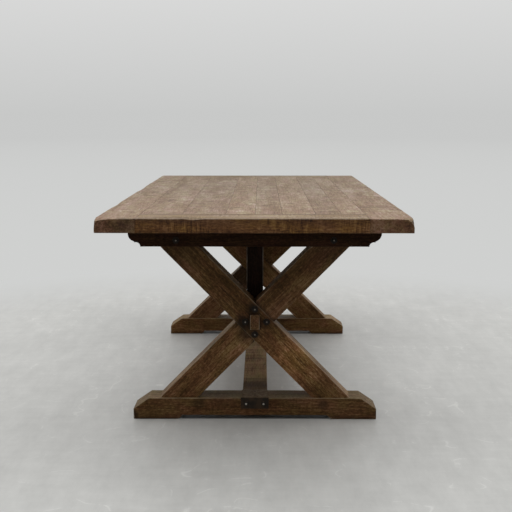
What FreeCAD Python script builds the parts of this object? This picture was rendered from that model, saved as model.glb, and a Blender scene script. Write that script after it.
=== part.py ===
import FreeCAD, Part
import math
import os
import Sketcher

# Sawbuck table: framed plank top on two X trestles tied by two stretchers.
# Millimetres. X runs across the table, Y along it, Z up; the origin is on the floor
# under the middle of the top. Each trestle is drawn about its own middle, its outer
# face towards -Y, and is then placed; the rear one is turned half round.

doc = FreeCAD.newDocument("sawbuck_table")
sheet = doc.addObject("Spreadsheet::Sheet", "Dims")

dimensions = {
    # top
    "tableHeight": 762,
    "topLength": 2134,
    "topWidth": 1010,
    "topThick": 46,
    "sidePlankLeft": 130,
    "sidePlankRight": 140,
    "endPlankDepth": 150,
    "grooveDepth": 12,
    "grooveHeight": 8,
    "splineSetback": 20,
    "fieldWidthOne": 137,
    "fieldWidthTwo": 144,
    "fieldWidthThree": 97,
    "fieldWidthFour": 89,
    "fieldWidthFive": 110,
    "fieldWidthSix": 85,
    "fieldWidthSeven": 78,
    # trestles
    "trestleY": 676,
    "footWidth": 874,
    "footHeight": 78,
    "footDepth": 104,
    "footSlopeRun": 56,
    "footSlopeDrop": 39,
    "padLength": 163,
    "relief": 14,
    "bearerHeight": 90,
    "bearerDepth": 96,
    "bearerHalf": 446,
    "roundRadius": 28,
    "coveRadius": 16,
    "moldStep": 2,
    "armDepth": 88,
    "armFootX": 273,
    "armTopX": 265,
    "armCut": 137,
    # the rear trestle's own sizes: its foot is shorter and its X stands wider at the top
    "rearFootWidth": 860,
    "rearArmFootX": 272,
    "rearArmTopX": 290,
    "rearArmCut": 147,
    # both trestles again
    "armTenonX": 277,
    "armTenonWidth": 70,
    "armTenonThick": 34,
    "footTenonLength": 36,
    "bearerTenonLength": 60,
    "postWidth": 60,
    "postDepth": 58,
    "postTenon": 30,
    "postTenonLength": 22,
    # stretchers
    "upperWidth": 54,
    "upperHeight": 78,
    "upperTenonWidth": 34,
    "upperTenonHeight": 54,
    "tenonProud": 12,
    "lowerWidth": 91,
    "lowerThick": 38,
    # ironwork
    "strapThick": 4,
    "strapWidth": 100,
    "strapTopWidth": 94,
    "strapReach": 99,
    "strapCorner": 6,
    "domeAngle": 30,
    "headRadius": 8,
    "strapHeadRadius": 9,
    "shankRadius": 4,
    "washerRadius": 12,
    "washerThick": 2,
    "crossingRise": 46,
    "crossingLeft": 34,
    "crossingRight": 42,
    "crossingScrewLength": 68,
    "bearerBoltZ": 649,
    "boltRadius": 5,
    "boltEnd": 6,
    "nutFlats": 16,
    "nutHeight": 8,
    "strapScrewX": 31,
    "strapScrewLength": 60,
    "leafScrewFrontY": -22,
    "leafScrewRearY": 24,
    "leafScrewLength": 36,
    "leafHeadRadius": 5,
    "leafHeadDepth": 3,
    "footScrewX": 286,
    "footScrewLength": 92,
    "footBore": 24,
    "boreRadius": 9,
    "topScrewLength": 94,
    "topBore": 30,
    "topBoreRadius": 8,
    "slimShankRadius": 3,
    "slimHeadRadius": 7,
    "slimHeadHeight": 5,
    "postScrewLowZ": 652,
    "postScrewHighZ": 694,
    "postScrewLength": 96,
}

for row, (alias, value) in enumerate(dimensions.items(), start=1):
    sheet.set("A%d" % row, alias)
    sheet.set("B%d" % row, str(value))
    sheet.setAlias("B%d" % row, alias)
doc.recompute()


class Size:
    """A length in mm together with the sheet formula that gives it."""

    def __init__(self, value, formula):
        self.value = float(value)
        self.formula = formula

    def __add__(self, other):
        other = asSize(other)
        return Size(self.value + other.value, "(%s + %s)" % (self.formula, other.formula))

    def __sub__(self, other):
        other = asSize(other)
        return Size(self.value - other.value, "(%s - %s)" % (self.formula, other.formula))

    def __mul__(self, other):
        other = asSize(other)
        return Size(self.value * other.value, "(%s * %s)" % (self.formula, other.formula))

    def __truediv__(self, other):
        other = asSize(other)
        return Size(self.value / other.value, "(%s / %s)" % (self.formula, other.formula))

    def __neg__(self):
        return Size(-self.value, "(0 - %s)" % self.formula)


def asSize(number):
    return number if isinstance(number, Size) else Size(number, repr(number))


def dim(alias):
    return Size(dimensions[alias], "Dims." + alias)


def cosine(degrees):
    return Size(math.cos(math.radians(degrees.value)), "cos(%s)" % degrees.formula)


def sine(degrees):
    return Size(math.sin(math.radians(degrees.value)), "sin(%s)" % degrees.formula)


def trestleDim(alias, rear):
    """A size that the rear trestle has of its own."""
    return dim("rear" + alias[0].upper() + alias[1:] if rear else alias)


# levels and places that several pieces share; crossingZ is the front X's crossing
undersideZ = dim("tableHeight") - dim("topThick")
bearerZ = undersideZ - dim("bearerHeight")
crossingZ = dim("footHeight") + (bearerZ - dim("footHeight")) * dim("armFootX") / (
    dim("armFootX") + dim("armTopX"))
upperZ = crossingZ - dim("upperHeight") / 2
upperTopZ = crossingZ + dim("upperHeight") / 2
grooveZ = dim("tableHeight") - dim("topThick") / 2 - dim("grooveHeight") / 2
halfTop = dim("topWidth") / 2
fieldLength = dim("topLength") - dim("endPlankDepth") * 2
armOuter = -dim("armDepth") / 2
bearerOuter = -dim("bearerDepth") / 2
footOuter = -dim("footDepth") / 2
lowerZ = dim("footHeight") - dim("lowerThick")
domeCosine = cosine(dim("domeAngle"))
domeSine = sine(dim("domeAngle"))
hexCosine = cosine(asSize(30))

# joints between the lengthwise planks, from left to right
fieldWidths = [dim("fieldWidth" + word)
               for word in ("One", "Two", "Three", "Four", "Five", "Six", "Seven")]
jointX = [-halfTop + dim("sidePlankLeft")]
for width in fieldWidths:
    jointX.append(jointX[-1] + width)

# one screw under each of these planks, clear of the arm mortises and the joints
mortiseClear = dim("armTenonX") + dim("armTenonWidth") / 2 + dim("boreRadius") * 2
edgeClear = dim("grooveDepth") * 1.5
topScrewX = (
    [jointX[0] - edgeClear, -mortiseClear]
    + [(jointX[number] + jointX[number + 1]) / 2 for number in (1, 2, 3, 4)]
    + [jointX[5] + edgeClear, mortiseClear + dim("boreRadius"),
       jointX[7] + dim("grooveDepth") * 2])

OUTWARD = FreeCAD.Rotation(FreeCAD.Vector(1, 0, 0), 90)     # local +Z turned to -Y
INWARD = FreeCAD.Rotation(FreeCAD.Vector(1, 0, 0), -90)     # local +Z turned to +Y
DOWN = FreeCAD.Rotation(FreeCAD.Vector(1, 0, 0), 180)
UP = FreeCAD.Rotation()

pieces = []


def bind(obj, **formulas):
    for name, size in formulas.items():
        setattr(obj, name, asSize(size).value)
        obj.setExpression(name, asSize(size).formula)


def place(obj, x=0, y=0, z=0, rotation=UP):
    values = [asSize(coordinate) for coordinate in (x, y, z)]
    base = FreeCAD.Vector(*[size.value for size in values])
    obj.Placement = FreeCAD.Placement(base, rotation)
    for axis, size in zip("xyz", values):
        obj.setExpression("Placement.Base." + axis, size.formula)


def box(x, y, z, length, width, height):
    """A block whose lowest corner is at x, y, z."""
    block = doc.addObject("Part::Box", "Block")
    bind(block, Length=length, Width=width, Height=height)
    place(block, x, y, z)
    return block


def middleBox(y, z, length, width, height, x=0):
    """A block centred on x, from y and z upwards."""
    return box(asSize(x) - asSize(length) / 2, y, z, length, width, height)


def cylinder(radius, height, x=0, y=0, z=0, rotation=UP):
    rod = doc.addObject("Part::Cylinder", "Rod")
    bind(rod, Radius=radius, Height=height)
    place(rod, x, y, z, rotation)
    return rod


def prism(corners, depth):
    """An X-Z outline padded to both sides of the Y = 0 plane."""
    body = doc.addObject("PartDesign::Body", "Prism")
    sketch = body.newObject("Sketcher::SketchObject", "Outline")
    plane = [item for item in body.Origin.OriginFeatures if item.Role == "XZ_Plane"][0]
    sketch.AttachmentSupport = (plane, [""])
    sketch.MapMode = "FlatFace"
    corners = [(asSize(x), asSize(z)) for x, z in corners]
    count = len(corners)
    points = [FreeCAD.Vector(x.value, z.value, 0) for x, z in corners]
    for index in range(count):
        sketch.addGeometry(Part.LineSegment(points[index], points[(index + 1) % count]), False)
    for index in range(count):
        sketch.addConstraint(Sketcher.Constraint("Coincident", index, 2, (index + 1) % count, 1))
    for index, corner in enumerate(corners):
        for kind, size in zip(("DistanceX", "DistanceY"), corner):
            number = sketch.addConstraint(Sketcher.Constraint(kind, -1, 1, index, 1, size.value))
            sketch.setExpression("Constraints[%d]" % number, size.formula)
    pad = body.newObject("PartDesign::Pad", "Thickness")
    pad.Profile = sketch
    pad.SideType = "Symmetric"
    bind(pad, Length=depth)
    body.Tip = pad
    return body


def fuse(shapes):
    result = doc.addObject("Part::MultiFuse", "Joined")
    result.Shapes = shapes
    result.Refine = True
    return result


def cut(base, tools):
    result = doc.addObject("Part::Cut", "Shaped")
    result.Base = base
    result.Tool = tools[0] if len(tools) == 1 else fuse(tools)
    return result


def group(shapes):
    result = doc.addObject("Part::Compound", "Set")
    result.Links = shapes
    return result


def keep(obj, name):
    """Name a finished sub-part; the name is also its file's."""
    obj.Label = name
    pieces.append(obj)
    return obj


def putInTrestle(obj, rear):
    """Place a sub-part drawn about the middle of a trestle at the front or rear one."""
    turn = FreeCAD.Rotation(FreeCAD.Vector(0, 0, 1), 180 if rear else 0)
    place(obj, 0, dim("trestleY") if rear else -dim("trestleY"), 0, turn)
    return obj


# ---- fasteners, drawn along local +Z with the underside of the head at zero ----

def domeHead(radius):
    """A dome of the given base radius, resting on the Z = 0 plane."""
    ball = doc.addObject("Part::Sphere", "Dome")
    bind(ball, Radius=radius / domeCosine, Angle1=dim("domeAngle"))
    place(ball, z=-(radius / domeCosine * domeSine))
    return ball


def domeScrew(headRadius, shankRadius, length):
    return fuse([domeHead(headRadius), cylinder(shankRadius, length, z=-asSize(length))])


def countersink(x, y, topZ):
    """The cone of a countersunk head, its wide end up at the given height."""
    cone = doc.addObject("Part::Cone", "Countersink")
    bind(cone, Radius1=dim("slimShankRadius"), Radius2=dim("leafHeadRadius"),
         Height=dim("leafHeadDepth"))
    place(cone, x, y, asSize(topZ) - dim("leafHeadDepth"))
    return cone


def flatScrew(length):
    """A countersunk screw, its head flush with the Z = 0 plane."""
    return fuse([countersink(0, 0, 0),
                 cylinder(dim("slimShankRadius"), length, z=-asSize(length))])


def hexNut():
    nut = doc.addObject("Part::Prism", "Nut")
    nut.Polygon = 6
    bind(nut, Circumradius=dim("nutFlats") / 2 / hexCosine, Height=dim("nutHeight"))
    return cut(nut, [cylinder(dim("boltRadius"), dim("nutHeight"))])


def washer():
    disc = cylinder(dim("washerRadius"), dim("washerThick"))
    return cut(disc, [cylinder(dim("boltRadius"), dim("washerThick"))])


def panHeadScrew(length):
    head = cylinder(dim("slimHeadRadius"), dim("slimHeadHeight"))
    return fuse([head, cylinder(dim("slimShankRadius"), length, z=-asSize(length))])


# places of the repeated fasteners, in the trestle's own frame
crossingPlaces = [
    (0, crossingZ + dim("crossingRise")),
    (0, crossingZ - dim("crossingRise")),
    (dim("crossingRight"), crossingZ),
    (-dim("crossingLeft"), crossingZ),
]
bearerBoltPlaces = [-dim("armTenonX"), dim("armTenonX")]
bearerInner = dim("bearerDepth") / 2
postScrewZ = [dim("postScrewLowZ"), dim("postScrewHighZ")]
postScrewBite = dim("postScrewLength") - dim("postDepth")
leafScrewY = [dim("leafScrewFrontY"), dim("leafScrewRearY")]


# ---- top ----

def pilots(x):
    """Blind holes for the two screws that come up through the bearers."""
    depth = dim("topScrewLength") - dim("bearerHeight") + dim("topBore")
    return [cylinder(dim("slimShankRadius"), depth, x, dim("trestleY") * end, undersideZ)
            for end in (-1, 1)]


def sidePlank(name, width, left, screwX):
    """A full-length outer plank, grooved along its inner edge for the tongue."""
    outer = -halfTop if left else halfTop - width
    blank = box(outer, -dim("topLength") / 2, undersideZ,
                width, dim("topLength"), dim("topThick"))
    inner = outer + width - dim("grooveDepth") if left else outer
    stopped = dim("topLength") - dim("splineSetback") * 2
    groove = box(inner, -stopped / 2, grooveZ, dim("grooveDepth"), stopped, dim("grooveHeight"))
    return keep(cut(blank, [groove] + pilots(screwX)), name)


def endPlank(name, rear):
    """A cross plank between the side planks, grooved on its inner edge and both ends."""
    left = -halfTop + dim("sidePlankLeft")
    width = dim("topWidth") - dim("sidePlankLeft") - dim("sidePlankRight")
    outer = fieldLength / 2 if rear else -dim("topLength") / 2
    blank = box(left, outer, undersideZ, width, dim("endPlankDepth"), dim("topThick"))
    inner = outer if rear else outer + dim("endPlankDepth") - dim("grooveDepth")
    groove = box(left, inner, grooveZ, width, dim("grooveDepth"), dim("grooveHeight"))
    endLength = dim("endPlankDepth") - dim("splineSetback")
    endY = outer if rear else outer + dim("splineSetback")
    ends = [box(x, endY, grooveZ, dim("grooveDepth"), endLength, dim("grooveHeight"))
            for x in (left, left + width - dim("grooveDepth"))]
    return keep(cut(blank, [groove] + ends), name)


def fieldPlank(name, left, width, screwX):
    """A lengthwise plank with a tongue at both ends and a groove along both edges."""
    blank = box(left, -fieldLength / 2, undersideZ, width, fieldLength, dim("topThick"))
    tongue = box(left, -fieldLength / 2 - dim("grooveDepth"), grooveZ,
                 width, fieldLength + dim("grooveDepth") * 2, dim("grooveHeight"))
    tongued = fuse([blank, tongue])
    grooves = [box(x, -fieldLength / 2 - dim("grooveDepth"), grooveZ, dim("grooveDepth"),
                   fieldLength + dim("grooveDepth") * 2, dim("grooveHeight"))
               for x in (left, left + width - dim("grooveDepth"))]
    return keep(cut(tongued, grooves + pilots(screwX)), name)


sidePlank("side_plank_left", dim("sidePlankLeft"), True, topScrewX[0])
sidePlank("side_plank_right", dim("sidePlankRight"), False, topScrewX[-1])
endPlank("end_plank_front", False)
endPlank("end_plank_rear", True)
for number, width in enumerate(fieldWidths):
    fieldPlank("field_plank_%d" % (number + 1), jointX[number], width, topScrewX[number + 1])

splines = []
for number, joint in enumerate(jointX):
    beside = number in (0, len(jointX) - 1)
    length = dim("topLength") - dim("splineSetback") * 2 if beside else fieldLength
    splines.append(middleBox(-length / 2, grooveZ, dim("grooveDepth") * 2, length,
                             dim("grooveHeight"), joint))
keep(group(splines), "plank_tongues")


# ---- trestles ----

padInner = dim("footWidth") / 2 - dim("padLength")


def footOutline(rear):
    """Sloped upper corners, and a relief between the two pads the foot stands on."""
    half = trestleDim("footWidth", rear) / 2
    return [
        (-half, 0),
        (-padInner, 0),
        (-padInner + dim("relief"), dim("relief")),
        (padInner - dim("relief"), dim("relief")),
        (padInner, 0),
        (half, 0),
        (half, dim("footHeight") - dim("footSlopeDrop")),
        (half - dim("footSlopeRun"), dim("footHeight")),
        (-half + dim("footSlopeRun"), dim("footHeight")),
        (-half, dim("footHeight") - dim("footSlopeDrop")),
    ]


def foot(name, rear):
    """Sole timber: arm mortises, a full-width housing for the stretcher, screw bores."""
    tools = [middleBox(-dim("footDepth") / 2, lowerZ, dim("lowerWidth"), dim("footDepth"),
                       dim("lowerThick"))]
    for side in (-1, 1):
        tools.append(middleBox(-dim("armTenonThick") / 2,
                               dim("footHeight") - dim("footTenonLength"),
                               dim("armTenonWidth"), dim("armTenonThick"),
                               dim("footTenonLength"), dim("armTenonX") * side))
        tools.append(cylinder(dim("boreRadius"), dim("footBore"), dim("footScrewX") * side))
        tools.append(cylinder(dim("slimShankRadius"), dim("footHeight"),
                              dim("footScrewX") * side))
    blank = prism(footOutline(rear), dim("footDepth"))
    return keep(putInTrestle(cut(blank, tools), rear), name)


def armOutline(side, rear):
    """A leaning arm, its top end on the given side and both ends cut level."""
    half = trestleDim("armCut", rear) / 2
    footX = trestleDim("armFootX", rear) * -side
    topX = trestleDim("armTopX", rear) * side
    return [(footX - half, dim("footHeight")), (footX + half, dim("footHeight")),
            (topX + half, bearerZ), (topX - half, bearerZ)]


def arm(name, side, rear):
    """One timber of the X. The arm with its top on the left keeps its outer half."""
    blank = prism(armOutline(side, rear), dim("armDepth"))
    tenons = [
        middleBox(-dim("armTenonThick") / 2, dim("footHeight") - dim("footTenonLength"),
                  dim("armTenonWidth"), dim("armTenonThick"), dim("footTenonLength"),
                  dim("armTenonX") * -side),
        middleBox(-dim("armTenonThick") / 2, bearerZ, dim("armTenonWidth"),
                  dim("armTenonThick"), dim("bearerTenonLength"), dim("armTenonX") * side),
    ]
    lap = prism(armOutline(-side, rear), dim("armDepth") / 2)
    place(lap, y=dim("armDepth") / 4 if side < 0 else -dim("armDepth") / 4)
    tools = [lap, middleBox(-dim("armDepth") / 2, crossingZ - dim("upperTenonHeight") / 2,
                            dim("upperTenonWidth"), dim("armDepth"),
                            dim("upperTenonHeight"))]
    for x, z in crossingPlaces:
        tools.append(cylinder(dim("shankRadius"), dim("crossingScrewLength"), x, armOuter, z,
                              INWARD))
    tools.append(cylinder(dim("boltRadius"), dim("armDepth"), dim("armTenonX") * side,
                          armOuter, dim("bearerBoltZ"), INWARD))
    tools.append(cylinder(dim("slimShankRadius"), dim("footScrewLength"),
                          dim("footScrewX") * -side, 0, dim("footBore")))
    return keep(putInTrestle(cut(fuse([blank] + tenons), tools), rear), name)


def bearer(name, rear):
    """Top timber with an ogee at both ends, arm mortises, bolt holes and screw bores."""
    half = dim("bearerHalf")
    shoulder = half - dim("roundRadius")
    roundZ = bearerZ + dim("coveRadius") + dim("moldStep") + dim("roundRadius")
    tools = []
    blanks = [middleBox(bearerOuter, bearerZ, shoulder * 2, dim("bearerDepth"),
                        dim("bearerHeight")),
              middleBox(bearerOuter, roundZ, half * 2, dim("bearerDepth"),
                        undersideZ - roundZ)]
    for side in (-1, 1):
        blanks.append(cylinder(dim("roundRadius"), dim("bearerDepth"), shoulder * side,
                               bearerOuter, roundZ, INWARD))
        tools.append(cylinder(dim("coveRadius"), dim("bearerDepth"), shoulder * side,
                              bearerOuter, bearerZ, INWARD))
        tools.append(middleBox(-dim("armTenonThick") / 2, bearerZ, dim("armTenonWidth"),
                               dim("armTenonThick"), dim("bearerTenonLength"),
                               dim("armTenonX") * side))
        tools.append(cylinder(dim("boltRadius"), dim("bearerDepth"), dim("armTenonX") * side,
                              bearerOuter, dim("bearerBoltZ"), INWARD))
    for x in trestleScrewX(rear):
        tools.append(cylinder(dim("topBoreRadius"), dim("topBore"), x, 0, bearerZ))
        tools.append(cylinder(dim("slimShankRadius"), dim("bearerHeight"), x, 0, bearerZ))
    for z in postScrewZ:
        tools.append(cylinder(dim("slimShankRadius"), postScrewBite, 0,
                              bearerInner - postScrewBite, z, INWARD))
    return keep(putInTrestle(cut(fuse(blanks), tools), rear), name)


def trestleScrewX(rear):
    """The top's screws in a trestle's own frame, which the rear trestle turns round."""
    return [-x for x in topScrewX] if rear else topScrewX


def post(name, rear):
    """Upright behind the X, from the upper stretcher to the underside of the top."""
    blank = middleBox(bearerInner, upperTopZ, dim("postWidth"), dim("postDepth"),
                      undersideZ - upperTopZ)
    tenon = middleBox(bearerInner + (dim("postDepth") - dim("postTenon")) / 2,
                      upperTopZ - dim("postTenonLength"), dim("postTenon"), dim("postTenon"),
                      dim("postTenonLength"))
    holes = [cylinder(dim("slimShankRadius"), dim("postDepth"), 0, bearerInner, z, INWARD)
             for z in postScrewZ]
    return keep(putInTrestle(cut(fuse([blank, tenon]), holes), rear), name)


def strap(name, rear):
    """Iron angle over the end of the lower stretcher, pierced for its screws."""
    outer = footOuter - dim("strapThick")
    leafZ = dim("footHeight")
    frontLeaf = middleBox(outer, lowerZ, dim("strapWidth"), dim("strapThick"),
                          dim("lowerThick") + dim("strapThick"))
    topLeaf = middleBox(footOuter, leafZ, dim("strapTopWidth"), dim("strapReach"),
                        dim("strapThick"))
    tools = []
    for side in (-1, 1):
        corner = dim("strapWidth") / 2 - dim("strapCorner")
        square = middleBox(outer, lowerZ, dim("strapCorner"), dim("strapThick"),
                           dim("strapCorner"),
                           (dim("strapWidth") / 2 - dim("strapCorner") / 2) * side)
        disc = cylinder(dim("strapCorner"), dim("strapThick"), corner * side, outer,
                        lowerZ + dim("strapCorner"), INWARD)
        tools.append(cut(square, [disc]))
        tools.append(cylinder(dim("shankRadius"), dim("strapThick"),
                              dim("strapScrewX") * side, outer,
                              lowerZ + dim("lowerThick") / 2, INWARD))
    for y in leafScrewY:
        tools.append(countersink(0, y, leafZ + dim("strapThick")))
        tools.append(cylinder(dim("slimShankRadius"), dim("strapThick"), 0, y, leafZ))
    return keep(putInTrestle(cut(fuse([frontLeaf, topLeaf]), tools), rear), name)


for end, rear in (("front", False), ("rear", True)):
    foot("foot_" + end, rear)
    arm("arm_left_" + end, -1, rear)
    arm("arm_right_" + end, 1, rear)
    bearer("bearer_" + end, rear)
    post("post_" + end, rear)
    strap("strap_" + end, rear)


# ---- stretchers ----

def upperStretcher():
    """Rail between the crossings, a through tenon at each end and a mortise per post."""
    between = dim("trestleY") * 2 - dim("armDepth")
    overall = dim("trestleY") * 2 + dim("armDepth") + dim("tenonProud") * 2
    rail = middleBox(-between / 2, upperZ, dim("upperWidth"), between, dim("upperHeight"))
    tenon = middleBox(-overall / 2, crossingZ - dim("upperTenonHeight") / 2,
                      dim("upperTenonWidth"), overall, dim("upperTenonHeight"))
    tools = []
    offset = dim("trestleY") - dim("bearerDepth") / 2 - dim("postDepth") / 2
    for side in (-1, 1):
        tools.append(middleBox(offset * side - dim("postTenon") / 2,
                               upperTopZ - dim("postTenonLength"), dim("postTenon"),
                               dim("postTenon"), dim("postTenonLength")))
    return keep(cut(fuse([rail, tenon]), tools), "upper_stretcher")


def lowerStretcher():
    """Flat plank lying in the housings of both feet, piloted for the straps' screws."""
    length = dim("trestleY") * 2 + dim("footDepth")
    plank = middleBox(-length / 2, lowerZ, dim("lowerWidth"), length, dim("lowerThick"))
    leafBite = dim("leafScrewLength") - dim("strapThick")
    tools = []
    for end in (-1, 1):
        for side in (-1, 1):
            start = length / 2 * end if end < 0 else length / 2 - dim("strapScrewLength")
            tools.append(cylinder(dim("shankRadius"), dim("strapScrewLength"),
                                  dim("strapScrewX") * side, start,
                                  lowerZ + dim("lowerThick") / 2, INWARD))
        for y in leafScrewY:
            tools.append(cylinder(dim("slimShankRadius"), leafBite, 0,
                                  (dim("trestleY") - y) * end,
                                  dim("footHeight") - leafBite))
    return keep(cut(plank, tools), "lower_stretcher")


upperStretcher()
lowerStretcher()


# ---- fastener sets ----

def atBothTrestles(make, places):
    """Copies of one fastener at every place of the front and of the rear trestle."""
    copies = []
    for rear in (False, True):
        for x, y, z, rotation in places:
            one = group([make()])
            place(one, x, y, z, rotation)
            copies.append(putInTrestle(group([one]), rear))
    return copies


boltZ = dim("bearerBoltZ")
washerThick = dim("washerThick")

crossingScrews = atBothTrestles(
    lambda: domeScrew(dim("headRadius"), dim("shankRadius"),
                      dim("crossingScrewLength") + washerThick),
    [(x, armOuter - washerThick, z, OUTWARD) for x, z in crossingPlaces])
keep(group(crossingScrews), "crossing_screws")

washers = atBothTrestles(
    washer,
    [(x, armOuter, z, OUTWARD) for x, z in crossingPlaces]
    + [(x, bearerOuter, boltZ, OUTWARD) for x in bearerBoltPlaces]
    + [(x, bearerInner, boltZ, INWARD) for x in bearerBoltPlaces])
keep(group(washers), "washers")

boltLength = dim("bearerDepth") + washerThick * 2 + dim("nutHeight") + dim("boltEnd")
bearerBolts = atBothTrestles(
    lambda: domeScrew(dim("headRadius"), dim("boltRadius"), boltLength),
    [(x, bearerOuter - washerThick, boltZ, OUTWARD) for x in bearerBoltPlaces])
keep(group(bearerBolts), "bearer_bolts")

nuts = atBothTrestles(
    hexNut,
    [(x, bearerInner + washerThick, boltZ, INWARD) for x in bearerBoltPlaces])
keep(group(nuts), "bearer_nuts")

strapScrews = atBothTrestles(
    lambda: domeScrew(dim("strapHeadRadius"), dim("shankRadius"),
                      dim("strapScrewLength") + dim("strapThick")),
    [(dim("strapScrewX") * side, footOuter - dim("strapThick"),
      lowerZ + dim("lowerThick") / 2, OUTWARD) for side in (-1, 1)])
keep(group(strapScrews), "strap_screws")

leafScrews = atBothTrestles(
    lambda: flatScrew(dim("leafScrewLength")),
    [(0, y, dim("footHeight") + dim("strapThick"), UP) for y in leafScrewY])
keep(group(leafScrews), "strap_leaf_screws")

footScrews = atBothTrestles(
    lambda: panHeadScrew(dim("footScrewLength")),
    [(dim("footScrewX") * side, 0, dim("footBore"), DOWN) for side in (-1, 1)])
keep(group(footScrews), "foot_screws")

topScrews = []
for rear in (False, True):
    for x in trestleScrewX(rear):
        one = group([panHeadScrew(dim("topScrewLength"))])
        place(one, x, 0, bearerZ + dim("topBore"), DOWN)
        topScrews.append(putInTrestle(group([one]), rear))
keep(group(topScrews), "top_screws")

postScrews = atBothTrestles(
    lambda: domeScrew(dim("slimHeadRadius"), dim("slimShankRadius"), dim("postScrewLength")),
    [(0, bearerInner + dim("postDepth"), z, INWARD) for z in postScrewZ])
keep(group(postScrews), "post_screws")


# ---- checks and files ----

doc.recompute()
for obj in doc.Objects:
    if "Invalid" in obj.State or "Error" in obj.State:
        raise RuntimeError("%s (%s) failed: %s" % (obj.Name, obj.Label, obj.State))
for piece in pieces:
    if piece.Shape.isNull() or not piece.Shape.isValid():
        raise RuntimeError(piece.Label + " has no valid shape")

os.makedirs("parts", exist_ok=True)
for piece in pieces:
    piece.Shape.exportStep(os.path.join("parts", piece.Label + ".step"))
    print("%-20s %3d solids %12.0f mm3" % (
        piece.Label, len(piece.Shape.Solids), piece.Shape.Volume))
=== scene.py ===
import math
import random
import bpy
import bmesh
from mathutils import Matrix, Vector


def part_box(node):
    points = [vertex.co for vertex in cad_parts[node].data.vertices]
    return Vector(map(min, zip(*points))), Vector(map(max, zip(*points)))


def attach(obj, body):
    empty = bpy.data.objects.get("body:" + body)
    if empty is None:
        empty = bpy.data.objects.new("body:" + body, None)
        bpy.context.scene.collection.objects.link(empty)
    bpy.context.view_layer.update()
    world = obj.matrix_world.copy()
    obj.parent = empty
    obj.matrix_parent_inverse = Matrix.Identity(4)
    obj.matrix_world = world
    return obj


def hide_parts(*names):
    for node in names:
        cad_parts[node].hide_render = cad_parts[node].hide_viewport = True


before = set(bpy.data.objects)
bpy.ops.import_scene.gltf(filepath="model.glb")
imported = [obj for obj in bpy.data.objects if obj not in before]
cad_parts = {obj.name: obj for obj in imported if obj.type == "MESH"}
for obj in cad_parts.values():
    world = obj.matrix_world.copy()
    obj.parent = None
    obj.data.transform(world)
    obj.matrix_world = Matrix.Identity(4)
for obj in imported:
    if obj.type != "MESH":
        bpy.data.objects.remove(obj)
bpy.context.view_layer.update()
print("frame loaded:", len(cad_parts), "nodes")


# handling objects and selections

cutPast = 0.01      # how far a cutter reaches past what it cuts


def deselectAll():
    if bpy.context.object and bpy.context.object.mode != "OBJECT":
        bpy.ops.object.mode_set(mode="OBJECT")
    bpy.ops.object.select_all(action="DESELECT")


def makeActive(piece):
    deselectAll()
    piece.select_set(True)
    bpy.context.view_layer.objects.active = piece


def startEditing(piece):
    makeActive(piece)
    bpy.ops.object.mode_set(mode="EDIT")


def stopEditing():
    bpy.ops.object.mode_set(mode="OBJECT")


def applyPlace(piece):
    makeActive(piece)
    bpy.ops.object.transform_apply(location=True, rotation=True, scale=True)


def applyModifiers(piece):
    makeActive(piece)
    for modifier in list(piece.modifiers):
        bpy.ops.object.modifier_apply(modifier=modifier.name)


def pick(piece, kind, test):
    # selects the vertices, edges or faces that pass the test
    bpy.ops.mesh.select_mode(type=kind)
    bpy.ops.mesh.select_all(action="DESELECT")
    form = bmesh.from_edit_mesh(piece.data)
    items = {"VERT": form.verts, "EDGE": form.edges, "FACE": form.faces}[kind]
    for item in items:
        if test(item):
            item.select_set(True)
    form.select_flush_mode()
    bmesh.update_edit_mesh(piece.data)


def edgeMiddle(edge):
    return (edge.verts[0].co + edge.verts[1].co) / 2


def looks(face, x=0, y=0, z=0, squarely=0.9):
    # whether a face looks that way
    return face.normal.dot(Vector((x, y, z))) > squarely


def middleOf(low, high):
    return (low + high) / 2


def near(a, b, reach=0.0005):
    return abs(a - b) < reach


def bothSides(*places):
    return [side * place for side in (-1, 1) for place in places]


def block(name, low, high):
    # a cube at its size and place
    deselectAll()
    low, high = Vector(low), Vector(high)
    bpy.ops.mesh.primitive_cube_add(size=1, location=middleOf(low, high))
    piece = bpy.context.object
    piece.name = piece.data.name = name
    piece.scale = high - low
    applyPlace(piece)
    return piece


def rod(radius, length, place, lying=True, vertices=24):
    # a cylinder that lies along Y or stands
    deselectAll()
    bpy.ops.mesh.primitive_cylinder_add(vertices=vertices, radius=radius, depth=length, location=place,
                                        rotation=(math.pi / 2 if lying else 0, 0, 0))
    piece = bpy.context.object
    applyPlace(piece)
    return piece


def cutPlane(place, facing, drop=False):
    # a knife cut through everything; drop takes away what lies in front of it
    bpy.ops.mesh.select_all(action="SELECT")
    bpy.ops.mesh.bisect(plane_co=place, plane_no=facing, use_fill=drop, clear_outer=drop)


def extrude(x=0, y=0, z=0):
    bpy.ops.mesh.extrude_region_move(TRANSFORM_OT_translate={"value": (x, y, z)})


def carve(piece, cutters):
    makeActive(piece)
    for cutter in cutters:
        modifier = piece.modifiers.new("carve", "BOOLEAN")
        modifier.operation = "DIFFERENCE"
        modifier.solver = "EXACT"
        modifier.object = cutter
        bpy.ops.object.modifier_apply(modifier=modifier.name)
        bpy.data.objects.remove(cutter)


def roundEdges(piece, width, segments=2, sharperThan=30):
    # rounds every edge that turns by more than the angle in degrees
    modifier = piece.modifiers.new("rounding", "BEVEL")
    modifier.width = width
    modifier.segments = segments
    modifier.limit_method = "ANGLE"
    modifier.angle_limit = math.radians(sharperThan)
    applyModifiers(piece)


def turnedCopy(piece, name, turn=math.pi):
    # a copy with its own mesh, turned about the upright axis
    copy = piece.copy()
    copy.data = piece.data.copy()
    copy.name = copy.data.name = name
    bpy.context.scene.collection.objects.link(copy)
    copy.rotation_euler.z = turn
    applyPlace(copy)
    return copy


def pieceName(node):
    words = node.split("_")
    return words[0] + "".join(word.capitalize() for word in words[1:])


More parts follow.
